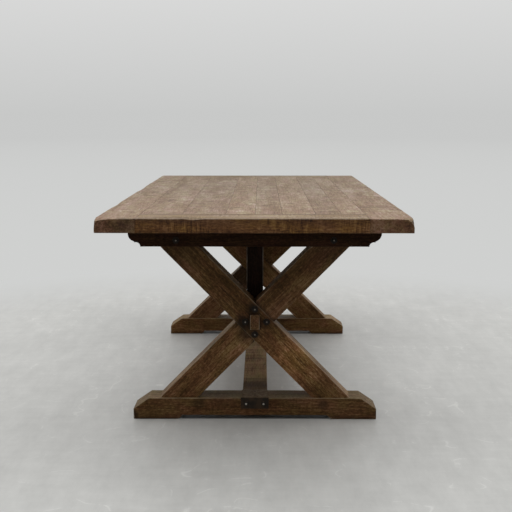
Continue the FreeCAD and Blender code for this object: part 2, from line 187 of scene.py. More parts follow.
def giveMaterial(piece, material):
    piece.data.materials.clear()
    piece.data.materials.append(material)


def seat(piece, slot, *nodes):
    # the piece rides with the table and stands for its CAD nodes
    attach(piece, "root")
    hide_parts(*nodes)


def solidsOf(node):
    # the boxes of the separate solids in a CAD group, from a merged copy of it
    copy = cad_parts[node].copy()
    copy.data = copy.data.copy()
    copy.parent = None
    bpy.context.scene.collection.objects.link(copy)
    startEditing(copy)
    bpy.ops.mesh.select_all(action="SELECT")
    bpy.ops.mesh.remove_doubles(threshold=0.00001)
    bpy.ops.mesh.separate(type="LOOSE")
    stopEditing()
    boxes = []
    for solid in list(bpy.context.selected_objects):
        corners = [Vector(corner) for corner in solid.bound_box]
        boxes.append((corners[0], corners[6]))
        bpy.data.objects.remove(solid)
    return boxes


# shader nodes; a value may be a number, a colour or a socket to link from

def addNode(tree, kind, inputs=None, **options):
    made = tree.nodes.new(kind)
    for key, value in options.items():
        setattr(made, key, value)
    for socket, value in (inputs or {}).items():
        if isinstance(value, bpy.types.NodeSocket):
            tree.links.new(value, made.inputs[socket])
        else:
            made.inputs[socket].default_value = value
    return made


def combine(tree, a, b, operation, c=0):
    return addNode(tree, "ShaderNodeMath", {0: a, 1: b, 2: c}, operation=operation).outputs[0]


def product(tree, a, b):
    return combine(tree, a, b, "MULTIPLY")


def addShare(tree, total, value, share):
    return combine(tree, value, share, "MULTIPLY_ADD", total)


def absolute(tree, value):
    return combine(tree, value, 0, "ABSOLUTE")


def combineVectors(tree, a, b, operation="ADD"):
    return addNode(tree, "ShaderNodeVectorMath", {0: a, 1: b}, operation=operation).outputs[0]


def scaled(tree, vector, amounts):
    return combineVectors(tree, vector, amounts, "MULTIPLY")


def lengthOf(tree, vector):
    return addNode(tree, "ShaderNodeVectorMath", {0: vector}, operation="LENGTH").outputs["Value"]


def partOf(tree, vector, axis):
    return addNode(tree, "ShaderNodeSeparateXYZ", {0: vector}).outputs[axis]


def facingUp(tree):
    return partOf(tree, addNode(tree, "ShaderNodeNewGeometry").outputs["Normal"], "Z")


def painted(tree, name):
    # one of the values that the mesh carries at its vertices
    return addNode(tree, "ShaderNodeAttribute", attribute_name=name).outputs["Fac"]


def noiseAt(tree, vector, scale, detail, roughness, output=0):
    return addNode(tree, "ShaderNodeTexNoise", {"Vector": vector, "Scale": scale, "Detail": detail,
                                                "Roughness": roughness}).outputs[output]


def stretchRange(tree, value, low, high, toLow=0.0, toHigh=1.0, soft=False):
    return addNode(tree, "ShaderNodeMapRange", {
        "Value": value, "From Min": low, "From Max": high, "To Min": toLow, "To Max": toHigh},
        interpolation_type="SMOOTHSTEP" if soft else "LINEAR").outputs[0]


def mixColour(tree, share, a, b, kind="MIX"):
    a, b = (colour if isinstance(colour, bpy.types.NodeSocket) else (*colour, 1) for colour in (a, b))
    return addNode(tree, "ShaderNodeMix", {"Factor": share, "A": a, "B": b}, data_type="RGBA",
                   blend_type=kind).outputs["Result"]


def colourRamp(tree, share, colours, places):
    ramp = addNode(tree, "ShaderNodeValToRGB", {0: share})
    elements = ramp.color_ramp.elements
    while len(elements) < len(colours):
        elements.new(0.5)
    for element, colour, place in zip(elements, colours, places):
        element.position = place
        element.color = (*colour, 1)
    return ramp.outputs[0]


def newMaterial(name):
    material = bpy.data.materials.new(name)
    material.use_nodes = True
    material.node_tree.nodes.clear()
    return material, material.node_tree


def surface(tree, colour, rough, shine, relief, strength, distance):
    # the shader itself; strength and distance say how much the relief shows
    bump = addNode(tree, "ShaderNodeBump", {"Height": relief, "Strength": strength,
                                            "Distance": distance})
    return addNode(tree, "ShaderNodeBsdfPrincipled", {
        "Base Color": colour, "Roughness": rough, "Specular IOR Level": shine,
        "Normal": bump.outputs[0]}).outputs[0]


# studio

studio = {
    "cameraPlace": (0.0251, -4.0479, 1.0878),
    "cameraPitch": 0.14761,      # radians below level
    "cameraTurn": 0.00624,
    "cameraLens": 67.25,         # mm
    "cameraSensor": 36,
    "cameraSight": 500,          # metres
    "lampSize": (6.0, 7.0),
    "lampPlace": (0, 0.35, 3.9),
    "lampPower": 192,
    "skyLight": 0.50,
    "backdropNear": (0.625, 0.632, 0.625),
    "backdropFar": (0.575, 0.580, 0.575),
    "backdropTop": (0.688, 0.690, 0.686),
    "backdropRise": 0.12,        # how steeply a view looks up where the top colour is reached
    "backdropReach": (4, 40),    # distances of the near and the far colour
}
ground = {
    "size": 160,
    "colour": (0.526, 0.526, 0.507),
    "roughness": (0.36, 0.48),
    "shine": 0.35,
    "bump": (0.15, 0.002),
    # noises: scale, detail and roughness
    "cloud": (2.2, 5, 0.5),
    "trowel": (2.4, 8, 0.62),
    "specks": (15, 8, 0.7),
    "swirl": (3.1, 2, 0.5),
    "trowelStretch": (2, 9, 1),
    "specksStretch": (1, 0.3, 1),
    "tone": (0.6, 1.4, 0.925, 1.075),        # large clouds: noise from, to, shade from, to
    "mottle": (0.3, 0.7, 0.915, 1.085),      # small ones
    "scratchWidth": 0.006,
    "scratches": (0.50, 0.56, 0, 0.16),      # where they break off, and how pale they are
    "paleStretch": (1.15, 0.95, 1),
    "paleReach": (0.40, 1.25, 1.27, 0.975),  # painted light and shade: paler up to the first, darker past the second
    "slotReach": (0.27, 0.05),    # painted shadow in the slot under each foot, from its middle
    "slotFade": 0.01,
    "slotTimes": 0.30,
    "litReach": (1.5, 2.7),       # lit up to the first, plain background past the second
}


def seenDirectly(tree):
    # 1 for what the camera, a reflection or clear glass shows, 0 for light on the table
    path = addNode(tree, "ShaderNodeLightPath")
    seen = path.outputs["Is Camera Ray"]
    for ray in ("Is Glossy Ray", "Is Transmission Ray"):
        seen = combine(tree, seen, path.outputs[ray], "MAXIMUM")
    return seen


def buildCamera():
    deselectAll()
    bpy.ops.object.camera_add(location=studio["cameraPlace"])
    camera = bpy.context.object
    camera.name = "camera"
    camera.rotation_euler = (math.pi / 2 - studio["cameraPitch"], 0, studio["cameraTurn"])
    camera.data.lens = studio["cameraLens"]
    camera.data.sensor_width = studio["cameraSensor"]
    camera.data.clip_end = studio["cameraSight"]
    bpy.context.scene.camera = camera


def buildLights():
    deselectAll()
    bpy.ops.object.light_add(type="AREA", location=studio["lampPlace"])
    lamp = bpy.context.object
    lamp.name = "overheadSoftbox"
    lamp.data.shape = "RECTANGLE"
    lamp.data.size, lamp.data.size_y = studio["lampSize"]
    lamp.data.energy = studio["lampPower"]
    lamp.visible_camera = False
    world = bpy.data.worlds.new("studioWorld")
    bpy.context.scene.world = world
    world.use_nodes = True
    tree = world.node_tree
    tree.nodes.clear()
    height = partOf(tree, addNode(tree, "ShaderNodeTexCoord").outputs["Generated"], "Z")
    backdrop = mixColour(tree, stretchRange(tree, height, 0, studio["backdropRise"]),
                         studio["backdropFar"], studio["backdropTop"])
    shown = addNode(tree, "ShaderNodeBackground", {0: backdrop, 1: 1})
    light = addNode(tree, "ShaderNodeBackground", {0: (1, 1, 1, 1), 1: studio["skyLight"]})
    mixed = addNode(tree, "ShaderNodeMixShader", {0: seenDirectly(tree), 1: light.outputs[0],
                                                  2: shown.outputs[0]})
    addNode(tree, "ShaderNodeOutputWorld", {0: mixed.outputs[0]})


def floorMaterial():
    material, tree = newMaterial("studioFloor")
    place = addNode(tree, "ShaderNodeTexCoord").outputs["Object"]
    cloud = noiseAt(tree, place, *ground["cloud"])
    trowel = noiseAt(tree, scaled(tree, place, ground["trowelStretch"]), *ground["trowel"])
    specks = noiseAt(tree, scaled(tree, place, ground["specksStretch"]), *ground["specks"])
    tone = stretchRange(tree, combine(tree, cloud, trowel, "ADD"), *ground["tone"])
    # painted light round the table and painted shade further out
    fromMiddle = lengthOf(tree, scaled(tree, place, ground["paleStretch"]))
    pale = stretchRange(tree, fromMiddle, *ground["paleReach"], soft=True)
    mottle = stretchRange(tree, specks, *ground["mottle"])

    # scratches run where a slow noise crosses its middle
    swirl = noiseAt(tree, place, *ground["swirl"])
    line = absolute(tree, combine(tree, swirl, 0.5, "SUBTRACT"))
    thin = stretchRange(tree, line, ground["scratchWidth"], 0)
    scratch = addShare(tree, 1, thin, stretchRange(tree, specks, *ground["scratches"]))

    # painted shadow on the floor in the slot under the middle of each foot
    trestleY = middleOf(*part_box("foot_rear")).y
    fromTrestle = combine(tree, absolute(tree, partOf(tree, place, "Y")), trestleY, "SUBTRACT")
    inside = [stretchRange(tree, absolute(tree, away), reach, reach - ground["slotFade"])
              for away, reach in zip((partOf(tree, place, "X"), fromTrestle), ground["slotReach"])]
    slot = stretchRange(tree, product(tree, *inside), 0, 1, 1, ground["slotTimes"])

    shade = tone
    for times in (pale, mottle, scratch, slot):
        shade = product(tree, shade, times)
    colour = addNode(tree, "ShaderNodeVectorMath", {0: ground["colour"], 3: shade}, operation="SCALE")
    rough = stretchRange(tree, cloud, 0, 1, *ground["roughness"])
    lit = surface(tree, colour.outputs[0], rough, ground["shine"], trowel, *ground["bump"])

    # far off, the floor turns into the plain backdrop
    distance = lengthOf(tree, place)
    backdrop = mixColour(tree, stretchRange(tree, distance, *studio["backdropReach"]),
                         studio["backdropNear"], studio["backdropFar"])
    plain = addNode(tree, "ShaderNodeEmission", {0: backdrop})
    fade = stretchRange(tree, distance, *ground["litReach"], soft=True)
    share = product(tree, fade, seenDirectly(tree))
    mixed = addNode(tree, "ShaderNodeMixShader", {0: share, 1: lit, 2: plain.outputs[0]})
    addNode(tree, "ShaderNodeOutputMaterial", {0: mixed.outputs[0]})
    return material


def buildFloor():
    deselectAll()
    bpy.ops.mesh.primitive_plane_add(size=ground["size"])
    floor = bpy.context.object
    floor.name = floor.data.name = "studioFloor"
    giveMaterial(floor, floorMaterial())


buildCamera()
buildLights()
buildFloor()
bpy.context.scene.view_settings.view_transform = "Standard"
print("studio set")


# timber: how every sawn piece is cut up, rounded and worn

timber = {
    "arris": 0.0019,            # rounding of a free corner
    "tightArris": 0.0005,       # rounding where pieces meet
    "arrisSegments": 3,
    "sharpFrom": 25,            # an edge that turns by more degrees is an arris
    "cornerFrom": 22,           # where the faces turn by as many degrees, wear and dirt are full
    "endGrainFrom": 0.62,       # how squarely a face looks along the grain to show end grain
    "smoothBelow": 32,          # degrees
    "supportLoops": (0.0065, 0.018),
    "leastGap": 0.003,          # what two loops leave between them
    "cutStep": 0.030,           # spacing of the cuts across a piece
    "wearContrast": 1.6,
    "arrisWear": 0.0013,        # how deep wear eats into a free corner
    "arrisWearLength": 0.045,
    "faceWaves": 0.0004,        # hand-planed unevenness of the faces
    "faceWaveLength": 0.11,
    "boreRadius": 0.0082,       # counterbores of the screws from below
    "screwHead": 0.004,         # height of the heads in them
}


def stations(low, high, step=None, loops=None, breaks=()):
    # support cuts beside both ends and every break, and even cuts between them
    loops = loops or timber["supportLoops"]
    step = step or timber["cutStep"]
    places = []
    ends = [low, *sorted(breaks), high]
    for start, end in zip(ends, ends[1:]):
        fitting = [loop for loop in loops if end - start > 2 * loop + timber["leastGap"]]
        for loop in fitting:
            places += [start + loop, end - loop]
        if fitting:
            inner, outer = start + max(fitting), end - max(fitting)
            count = max(1, round((outer - inner) / step))
            places += [inner + (outer - inner) * number / count for number in range(1, count)]
    return sorted(places)


def cutStations(piece, facing, places, middle=(0, 0, 0)):
    startEditing(piece)
    facing = Vector(facing).normalized()
    for place in places:
        cutPlane(Vector(middle) + facing * place, facing)
    stopEditing()


def cutBlock(piece, low, high, steps=(None, None, None), breaks=((), (), ())):
    for axis in range(3):
        facing = [0, 0, 0]
        facing[axis] = 1
        places = stations(low[axis], high[axis], steps[axis], breaks=breaks[axis])
        cutStations(piece, facing, places)


def roundArrises(piece, isTight):
    form = bmesh.new()
    form.from_mesh(piece.data)
    weights = form.edges.layers.float.new("bevel_weight_edge")
    tightShare = timber["tightArris"] / timber["arris"]
    for edge in form.edges:
        if len(edge.link_faces) == 2 and edge.calc_face_angle() > math.radians(timber["sharpFrom"]):
            edge[weights] = tightShare if isTight(edgeMiddle(edge)) else 1
    form.to_mesh(piece.data)
    form.free()
    modifier = piece.modifiers.new("arrises", "BEVEL")
    modifier.width = timber["arris"]
    modifier.segments = timber["arrisSegments"]
    modifier.limit_method = "WEIGHT"
    modifier.use_clamp_overlap = False
    applyModifiers(piece)


def markSurface(piece, grain, isTight, isDirty):
    # wear on free corners, grime in joints, and end grain, one value per vertex each
    form = bmesh.new()
    form.from_mesh(piece.data)
    layers = {name: form.verts.layers.float.new(name) for name in ("wear", "grime", "endGrain")}
    grain = Vector(grain).normalized()
    for vertex in form.verts:
        normals = [face.normal for face in vertex.link_faces]
        turn = max((a.angle(b, 0) for a in normals for b in normals), default=0)
        corner = min(1, turn / math.radians(timber["cornerFrom"]))
        isEnd = abs(vertex.normal.dot(grain)) > timber["endGrainFrom"]
        vertex[layers["wear"]] = 0 if isTight(vertex.co) else corner
        vertex[layers["grime"]] = corner if isDirty(vertex.co) else 0
        vertex[layers["endGrain"]] = 1 if isEnd else 0
    form.to_mesh(piece.data)
    form.free()
    group = piece.vertex_groups.new(name="arrises")
    for number, entry in enumerate(piece.data.attributes["wear"].data):
        group.add([number], entry.value, "REPLACE")


def patchTexture(length):
    name = "patches" + str(round(length * 1000))
    texture = bpy.data.textures.get(name) or bpy.data.textures.new(name, "CLOUDS")
    texture.noise_scale = length
    texture.noise_depth = 2
    texture.contrast = timber["wearContrast"]
    return texture


def eatInward(piece, depth, length, group=""):
    # moves the surface inward by up to the depth, in soft patches of that length
    modifier = piece.modifiers.new("wearAway", "DISPLACE")
    modifier.texture = patchTexture(length)
    modifier.texture_coords = "LOCAL"
    modifier.mid_level = 0
    modifier.strength = -depth
    modifier.vertex_group = group
    applyModifiers(piece)


def knock(piece, place, push, reach):
    # a soft dent: what lies within reach is pushed, less towards its rim
    place, push = Vector(place), Vector(push)
    for vertex in piece.data.vertices:
        away = (vertex.co - place).length / reach
        if away < 1:
            vertex.co += push * (1 - away * away) ** 2


def smoothPiece(piece, angle=timber["smoothBelow"]):
    # rounded corners shade smoothly and the broad faces beside them stay flat
    makeActive(piece)
    bpy.ops.object.shade_smooth_by_angle(angle=math.radians(angle))
    modifier = piece.modifiers.new("evenShading", "WEIGHTED_NORMAL")
    modifier.keep_sharp = True
    applyModifiers(piece)


def keepInside(piece, low, high):
    for vertex in piece.data.vertices:
        for axis in range(3):
            vertex.co[axis] = min(max(vertex.co[axis], low[axis]), high[axis])


def screwBores(node, low, high):
    # a cutter up to the head of each screw that goes up through this piece
    cutters = []
    for screwLow, screwHigh in solidsOf(node):
        if low.y < screwLow.y < high.y:
            seatZ, startZ = screwLow.z + timber["screwHead"], low.z - cutPast
            place = middleOf(screwLow, screwHigh)
            place.z = middleOf(seatZ, startZ)
            cutters.append(rod(timber["boreRadius"], seatZ - startZ, place, lying=False))
    return cutters


def finishTimber(piece, grain, isTight=lambda place: False, knocks=(), depth=1, isDirty=None,
                 screws=None):
    low, high = Vector(piece.bound_box[0]), Vector(piece.bound_box[6])
    roundArrises(piece, isTight)
    markSurface(piece, grain, isTight, isDirty or isTight)
    eatInward(piece, timber["arrisWear"] * depth, timber["arrisWearLength"], "arrises")
    eatInward(piece, timber["faceWaves"] * depth, timber["faceWaveLength"])
    for place, push, reach in knocks:
        knock(piece, place, push, reach)
    keepInside(piece, low, high)
    if screws:
        carve(piece, screwBores(screws, low, high))
    smoothPiece(piece)


# wood finishes; colours are linear and go from the dark of the grain to its light

woodLooks = {
    "top": {
        "colours": ((0.024, 0.0102, 0.0024), (0.058, 0.0263, 0.0084), (0.092, 0.0475, 0.0190),
                    (0.160, 0.098, 0.050)),
        "bleach": ((1.39, 2.10, 3.65), (0.064, 0.041, 0.0255)),   # upper face, bleached and dusty with a painted sheen: times, plus
        # pale wear on free corners, partly a painted highlight
        "worn": (0.22, 0.155, 0.09),
        "endGrainShade": (1.0, 1.17, 1.70),
        "hues": ((1.06, 1.06, 0.80), (1.10, 0.93, 0.92)),   # golden and reddish patches
        "roughness": (0.44, 0.60),
        "shine": 0.16,
        "ringSpacing": 0.011,
        "pithDepth": 0.10,
        "ringShare": 0.10,
        "fibreShare": 0.35,
        "fleckShare": 0.80,
        "fleckScale": 140,
        "fleckLength": 0.11,    # how short the flecks are along the grain
        "streakShare": 0.20,
        "patchShare": 0.47,
        "patchLength": 0.16,    # how short the cloudy patches are along the grain
        "sawShare": 1.12,
        "sawScale": 20,
        "sawReach": 0.80,       # how short the marks are across the grain
        "crackShare": 0.5,
        "knotShare": 0.5,
        "jointDirt": 0.98,
        "dirtEdge": 0.70,       # the nearer to 1, the narrower the dirt in the joints
    },
    "trestle": {
        "colours": ((0.020, 0.0098, 0.0024), (0.054, 0.0280, 0.0100), (0.100, 0.0575, 0.0250),
                    (0.205, 0.135, 0.080)),
        "bleach": ((1.50, 1.50, 1.50), (0.030, 0.024, 0.018)),
        "worn": (0.25, 0.185, 0.125),
        "endGrainShade": (0.8, 0.85, 0.9),
        "hues": ((1.10, 1.05, 0.80), (1.15, 0.92, 0.85)),
        "roughness": (0.48, 0.66),
        "shine": 0.09,
        "ringSpacing": 0.010,
        "pithDepth": 0.07,
        "ringShare": 0.10,
        "fibreShare": 0.42,
        "fleckShare": 0.80,
        "fleckScale": 190,
        "fleckLength": 0.45,
        "streakShare": 0.24,
        "patchShare": 0.42,
        "patchLength": 0.45,
        "sawShare": 0.32,
        "sawScale": 110,
        "sawReach": 0.12,
        "crackShare": 0.8,
        "knotShare": 0.75,
        "jointDirt": 0.95,
        "dirtEdge": 0.70,
    },
}


def lookLike(base, **changes):
    return dict(woodLooks[base], **changes)


woodLooks["endPlank"] = lookLike(
    "top", bleach=((1.20, 1.80, 3.25), (0.064, 0.043, 0.0195)), worn=(0.10, 0.068, 0.038),
    hues=((1.15, 1.08, 0.70), (1.07, 0.97, 0.96)), fleckShare=1.0, fleckScale=210, fleckLength=0.30,
    patchShare=0.60, patchLength=0.30, sawShare=1.3, sawScale=120, sawReach=0.16)
woodLooks["foot"] = lookLike(
    "trestle", bleach=((2.0, 2.6, 2.8), (0.050, 0.044, 0.036)), fleckShare=0.70, streakShare=0.18,
    patchShare=0.30)
# upward faces much paler, mostly a painted sheen
woodLooks["arm"] = lookLike(
    "trestle", bleach=((2.5, 2.95, 2.95), (0.100, 0.085, 0.063)), worn=(0.36, 0.28, 0.20),
    streakShare=0.27, patchShare=0.60, dirtEdge=0.30)
# much darker than the trestle's wood: partly a dark stain and partly painted shade under the top
woodLooks["bearer"] = lookLike(
    "trestle", shine=0.04, worn=(0.05, 0.032, 0.020), patchShare=0.4,
    colours=((0.006, 0.0027, 0.0014), (0.0135, 0.0064, 0.0034), (0.022, 0.0108, 0.0060),
             (0.045, 0.024, 0.013)))
woodLooks["stretcher"] = lookLike(
    "trestle", bleach=((1.05, 1.05, 1.05), (0, 0, 0)), fleckShare=0.45, streakShare=0.12,
    patchShare=0.2, sawShare=1.0, sawScale=11, sawReach=0.05,
    colours=((0.080, 0.048, 0.022), (0.185, 0.125, 0.062), (0.285, 0.205, 0.108),
             (0.430, 0.330, 0.190)))
woodLooks["tenon"] = lookLike("trestle", endGrainShade=(1.08, 1.12, 1.35), worn=(0.40, 0.32, 0.23))
# painted shade: a near-black finish that stands for the deep shade behind the X, with pale edges that are
# partly a painted highlight
woodLooks["post"] = lookLike(
    "trestle", shine=0.04, worn=(0.34, 0.28, 0.22), bleach=((1, 1, 1), (0, 0, 0)),
    colours=((0.0030, 0.0018, 0.0010), (0.0075, 0.0040, 0.0026), (0.012, 0.0065, 0.0042),
             (0.026, 0.015, 0.010)))
woodLooks["tongue"] = lookLike("trestle", crackShare=0.2)

wood = {
    "tones": (0.08, 0.38, 0.60, 0.98),     # where the four colours of a look stand
    "contrast": 1.9,                       # strength of every pattern but the rings
    "deepest": 0.35,                       # cracks and joint dirt, from the darkest colour
    "shift": 9,                            # how far the pattern may slide from piece to piece
    "pithAside": 0.05,
    "pithSpread": (0.8, 1.3),
    "ringWander": (0, 0.07, 0.07),
    "ringWave": (0.314, 0.6, 2, 1.2),      # period at scale 1, distortion, detail and its scale
    "knotWander": (0.02, 0.02, 0.02),
    "knotStretch": (0.6, 1, 1),
    "knotScale": 7,
    "knotOdds": 0.86,
    "knotReach": (0.11, 0.03),
    "crackWidth": 0.012,
    "facesUp": (0.50, 0.97),               # bleached, dusty and with a painted sheen from, fully from
    "facesDown": (-0.50, -0.05, 0.15, 1),  # less rubbing and painted highlight
    "rubbedHighlightFrom": 0.55,
    "dirtFull": 0.95,
    "dirtLeast": 0.78,
    "markEdge": (0.55, -0.15),            # a mark's soft edge, over its reach
    "darkerBelowEdge": (0.5, -0.4),
    "glossTones": (0.7, 1.3),
    "relief": {"fibre": 0.9, "saw": 2.4, "crack": -1.6},
    "bump": (0.6, 0.0010),
    # noises: how they are stretched, scale, detail and roughness
    "wander": ((1.3, 5, 5), 1, 3, 0.5),
    "fibre": ((0.05, 1, 1), 420, 3, 0.6),
    "streak": ((0.06, 1, 1), 55, 3, 0.55),
    "crack": ((0.022, 1, 1), 58, 2, 0.4),
    # these without what the look gives
    "fleck": (4, 0.80),
    "patch": (12, 5, 0.62),
    "saw": (5, 0.75),
    # noises that are cut off: and then from, to, and the values there
    "sawPlaces": ((1, 1, 1), 7, 2, 0.55, 0.42, 0.58, 0.25, 1),
    "crackPlaces": ((0.3, 1, 1), 13, 2, 0.55, 0.52, 0.60),
    "goldenPlaces": ((0.4, 1, 1), 26, 3, 0.55, 0.40, 0.62),
    "rubbedHighlightPlaces": ((0.5, 1, 1), 34, 4, 0.55, 0.36, 0.62, 0.10, 0.85),
    "dirtPlaces": ((1, 1, 1), 12, 3, 0.55, 0.40, 0.56),
}


def tinted(tree, colour, times):
    # times is a colour, or one number for its three channels
    times = times if isinstance(times, (tuple, bpy.types.NodeSocket)) else (times, times, times)
    return mixColour(tree, 1.0, colour, times, "MULTIPLY")


def tintWhere(tree, share, colour, times):
    return mixColour(tree, share, colour, tinted(tree, colour, times))


def fromHalf(tree, value):
    return combine(tree, value, 0.5, "SUBTRACT")


def patterned(tree, spot, stretch, scale, detail, roughness, *limits):
    # a noise stretched with the grain, and cut off where limits are given
    value = noiseAt(tree, scaled(tree, spot, stretch), scale, detail, roughness)
    return stretchRange(tree, value, *limits) if limits else value


def woodRings(tree, look, chance, along, bend):
    # growth rings about a pith outside the piece, wandering along its length
    aside = chance.uniform(-wood["pithAside"], wood["pithAside"])
    pith = (0, aside, -look["pithDepth"] * chance.uniform(*wood["pithSpread"]))
    centred = combineVectors(tree, along, pith, "SUBTRACT")
    bent = combineVectors(tree, scaled(tree, bend, wood["ringWander"]), centred)
    period, distortion, detail, detailScale = wood["ringWave"]
    return addNode(tree, "ShaderNodeTexWave", {
        "Vector": bent, "Scale": period / look["ringSpacing"], "Distortion": distortion,
        "Detail": detail, "Detail Scale": detailScale},
        wave_type="RINGS", rings_direction="X", wave_profile="SAW").outputs["Fac"]


def woodCracks(tree, spot):
    # a crack runs where a noise crosses its middle
    line = absolute(tree, fromHalf(tree, patterned(tree, spot, *wood["crack"])))
    split = stretchRange(tree, line, wood["crackWidth"], 0)
    return product(tree, split, patterned(tree, spot, *wood["crackPlaces"]))


def woodKnots(tree, spot, bend):
    # a few cells have one at their heart
    pushed = combineVectors(tree, scaled(tree, bend, wood["knotWander"]),
                            scaled(tree, spot, wood["knotStretch"]))
    cells = addNode(tree, "ShaderNodeTexVoronoi", {"Vector": pushed, "Scale": wood["knotScale"]})
    odds = addNode(tree, "ShaderNodeSeparateColor", {0: cells.outputs["Color"]}).outputs[0]
    chosen = combine(tree, odds, wood["knotOdds"], "GREATER_THAN")
    return product(tree, stretchRange(tree, cells.outputs["Distance"], *wood["knotReach"]), chosen)


def stained(tree, colour, place, patch, stains, bands, soil):
    # stains, painted shade and painted light: where, how far and how much darker or lighter
    for markPlace, reach, times in stains:
        away = lengthOf(tree, combineVectors(tree, place, markPlace, "SUBTRACT"))
        ragged = combine(tree, away, product(tree, patch, reach), "SUBTRACT")
        halo = stretchRange(tree, ragged, *(reach * share for share in wood["markEdge"]))
        colour = tintWhere(tree, halo, colour, times)

    # bands across a piece, some of them painted light or shade: along which axis, where, how far it fades
    # and its colour
    for axis, bandPlace, reach, times in bands:
        away = absolute(tree, combine(tree, partOf(tree, place, axis), bandPlace, "SUBTRACT"))
        colour = tintWhere(tree, stretchRange(tree, away, reach, 0), colour, times)

    # darker towards the bottom, up to a ragged line
    if soil:
        low, high, times = soil
        upper, lower = (high * share for share in wood["darkerBelowEdge"])
        ragged = combine(tree, partOf(tree, place, "Z"), product(tree, patch, high), "SUBTRACT")
        colour = tintWhere(tree, stretchRange(tree, ragged, upper, low + lower), colour, times)
    return colour


def woodMaterial(name, look, middle, turn, stains=(), bands=(), tint=1.0, soil=None):
    chance = random.Random(name)
    material, tree = newMaterial(name)
    place = addNode(tree, "ShaderNodeTexCoord").outputs["Object"]
    along = addNode(tree, "ShaderNodeMapping", {0: place, "Location": middle, "Rotation": turn},
                    vector_type="TEXTURE").outputs[0]     # X runs with the grain
    shift = [chance.uniform(-wood["shift"], wood["shift"]) for axis in range(3)]
    spot = combineVectors(tree, along, shift)
    stretch, *kind = wood["wander"]
    wander = noiseAt(tree, scaled(tree, spot, stretch), *kind, "Color")
    bend = combineVectors(tree, wander, (0.5, 0.5, 0.5), "SUBTRACT")

    # patterns that add up to one tone
    ring = woodRings(tree, look, chance, along, bend)
    fibre = patterned(tree, spot, *wood["fibre"])
    fleck = patterned(tree, spot, (look["fleckLength"], 1, 1), look["fleckScale"], *wood["fleck"])
    streak = patterned(tree, spot, *wood["streak"])
    patch = patterned(tree, spot, (look["patchLength"], 1, 1), *wood["patch"])
    across = (1, look["sawReach"], look["sawReach"])
    marks = patterned(tree, spot, across, look["sawScale"], *wood["saw"])
    saw = product(tree, fromHalf(tree, marks), patterned(tree, spot, *wood["sawPlaces"]))
    tone = addShare(tree, 0.5, fromHalf(tree, ring), look["ringShare"])
    for noise, share in ((fibre, "fibreShare"), (fleck, "fleckShare"), (streak, "streakShare"),
                         (patch, "patchShare")):
        tone = addShare(tree, tone, fromHalf(tree, noise), look[share] * wood["contrast"])
    tone = addShare(tree, tone, saw, look["sawShare"] * wood["contrast"])

    # the tone coloured, with cracks and knots
    crack = woodCracks(tree, spot)
    knot = woodKnots(tree, spot, bend)
    golden = patterned(tree, spot, *wood["goldenPlaces"])
    hue = mixColour(tree, golden, look["hues"][1], look["hues"][0])
    colour = tinted(tree, colourRamp(tree, tone, look["colours"], wood["tones"]), hue)
    colour = tinted(tree, colour, tint)
    darkest = look["colours"][0]
    deepest = tuple(channel * wood["deepest"] for channel in darkest)
    colour = mixColour(tree, product(tree, crack, look["crackShare"]), colour, deepest)
    colour = mixColour(tree, product(tree, knot, look["knotShare"]), colour, darkest)

    # end grain drinks more stain, and faces that look up are bleached and dusty, with a painted sheen
    colour = tintWhere(tree, painted(tree, "endGrain"), colour, look["endGrainShade"])
    upward = facingUp(tree)
    times, plus = look["bleach"]
    bleached = combineVectors(tree, scaled(tree, colour, times), plus)
    colour = mixColour(tree, stretchRange(tree, upward, *wood["facesUp"]), colour, bleached)

    colour = stained(tree, colour, place, patch, stains, bands, soil)

    # rubbed corners, paler partly from wear and partly as a painted highlight, and dirt in the joints
    rubbingAndHighlight = product(tree, patterned(tree, spot, *wood["rubbedHighlightPlaces"]),
                      stretchRange(tree, upward, *wood["facesDown"]))
    rubbedAndHighlight = product(tree, stretchRange(tree, painted(tree, "wear"), wood["rubbedHighlightFrom"], 1), rubbingAndHighlight)
    colour = mixColour(tree, rubbedAndHighlight, colour, look["worn"])
    settled = patterned(tree, spot, *wood["dirtPlaces"], wood["dirtLeast"], look["jointDirt"])
    dirty = stretchRange(tree, painted(tree, "grime"), look["dirtEdge"], wood["dirtFull"])
    colour = mixColour(tree, product(tree, dirty, settled), colour, deepest)

    glossy, matt = look["roughness"]
    rough = stretchRange(tree, combine(tree, fibre, patch, "ADD"), *wood["glossTones"], matt, glossy)
    heights = wood["relief"]
    relief = addShare(tree, tone, fibre, heights["fibre"])
    relief = addShare(tree, relief, saw, heights["saw"] * look["sawShare"])
    relief = addShare(tree, relief, crack, heights["crack"])
    shader = surface(tree, colour, rough, look["shine"], relief, *wood["bump"])
    addNode(tree, "ShaderNodeOutputMaterial", {0: shader})
    return material


withGrainX = (0, 0, 0)
withGrainY = (0, 0, math.pi / 2)
withGrainZ = (0, math.pi / 2, 0)


def dress(piece, look, turn, **extra):
    # its own wood, centred on the piece and turned with its grain
    middle = sum((Vector(corner) for corner in piece.bound_box), Vector()) / 8
    giveMaterial(piece, woodMaterial(piece.name + "Wood", woodLooks[look], middle, turn, **extra))


# the top: eleven planks

